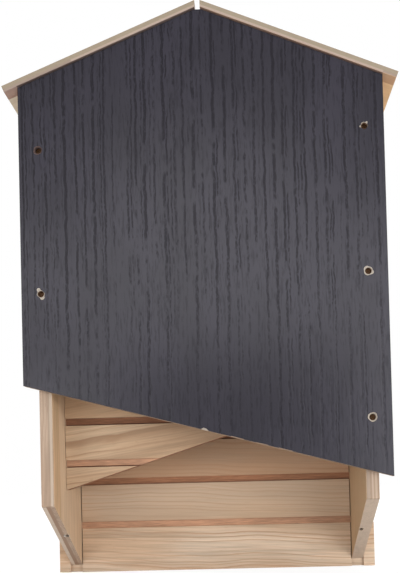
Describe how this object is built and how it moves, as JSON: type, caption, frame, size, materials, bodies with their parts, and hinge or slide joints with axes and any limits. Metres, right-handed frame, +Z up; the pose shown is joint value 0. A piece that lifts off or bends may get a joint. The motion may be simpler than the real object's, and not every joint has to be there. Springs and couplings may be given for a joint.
{
  "type": "bat box",
  "caption": "Wall-hung wooden bat box with a dark gabled front board, slanted lower edge, grooved back board and partition, tapered side panels and a two-board roof.",
  "frame": {"origin": "on the rear face of the back board, on its middle line, 200 mm above its foot", "axes": "+X to the right of someone facing the front, -Y out of the front, +Z up"},
  "size_m": [0.3038, 0.1098, 0.4459],
  "materials": {
    "dark_board": "charcoal coated board with an embossed upright grain",
    "pine": "bare planed pine",
    "roof_pine": "bare planed pine",
    "bronze_screw": "dark bronze plated screw",
    "steel_nail": "bright steel nail",
    "zinc_plate": "zinc plated steel"
  },
  "bodies": {
    "root": {"back_board": "pine", "left_side_panel": "pine", "right_side_panel": "pine", "partition_board": "pine", "front_board": "dark_board", "left_roof_board": "roof_pine", "right_roof_board": "roof_pine", "hanger_plate": "zinc_plate", "hanger_screw_left": "zinc_plate", "hanger_screw_right": "zinc_plate", "front_screw_left_1": "bronze_screw", "front_screw_left_2": "bronze_screw", "front_screw_right_1": "bronze_screw", "front_screw_right_2": "bronze_screw", "front_screw_right_3": "bronze_screw", "rear_nail_left_1": "steel_nail", "rear_nail_left_2": "steel_nail", "rear_nail_left_3": "steel_nail", "rear_nail_right_1": "steel_nail", "rear_nail_right_2": "steel_nail", "rear_nail_right_3": "steel_nail", "partition_nail_left_1": "steel_nail", "partition_nail_left_2": "steel_nail", "partition_nail_right_1": "steel_nail", "partition_nail_right_2": "steel_nail", "roof_nail_left_front_1": "steel_nail", "roof_nail_left_front_2": "steel_nail", "roof_nail_left_rear_1": "steel_nail", "roof_nail_left_rear_2": "steel_nail", "roof_nail_right_front_1": "steel_nail", "roof_nail_right_front_2": "steel_nail", "roof_nail_right_rear_1": "steel_nail", "roof_nail_right_rear_2": "steel_nail"}
  },
  "joints": []
}
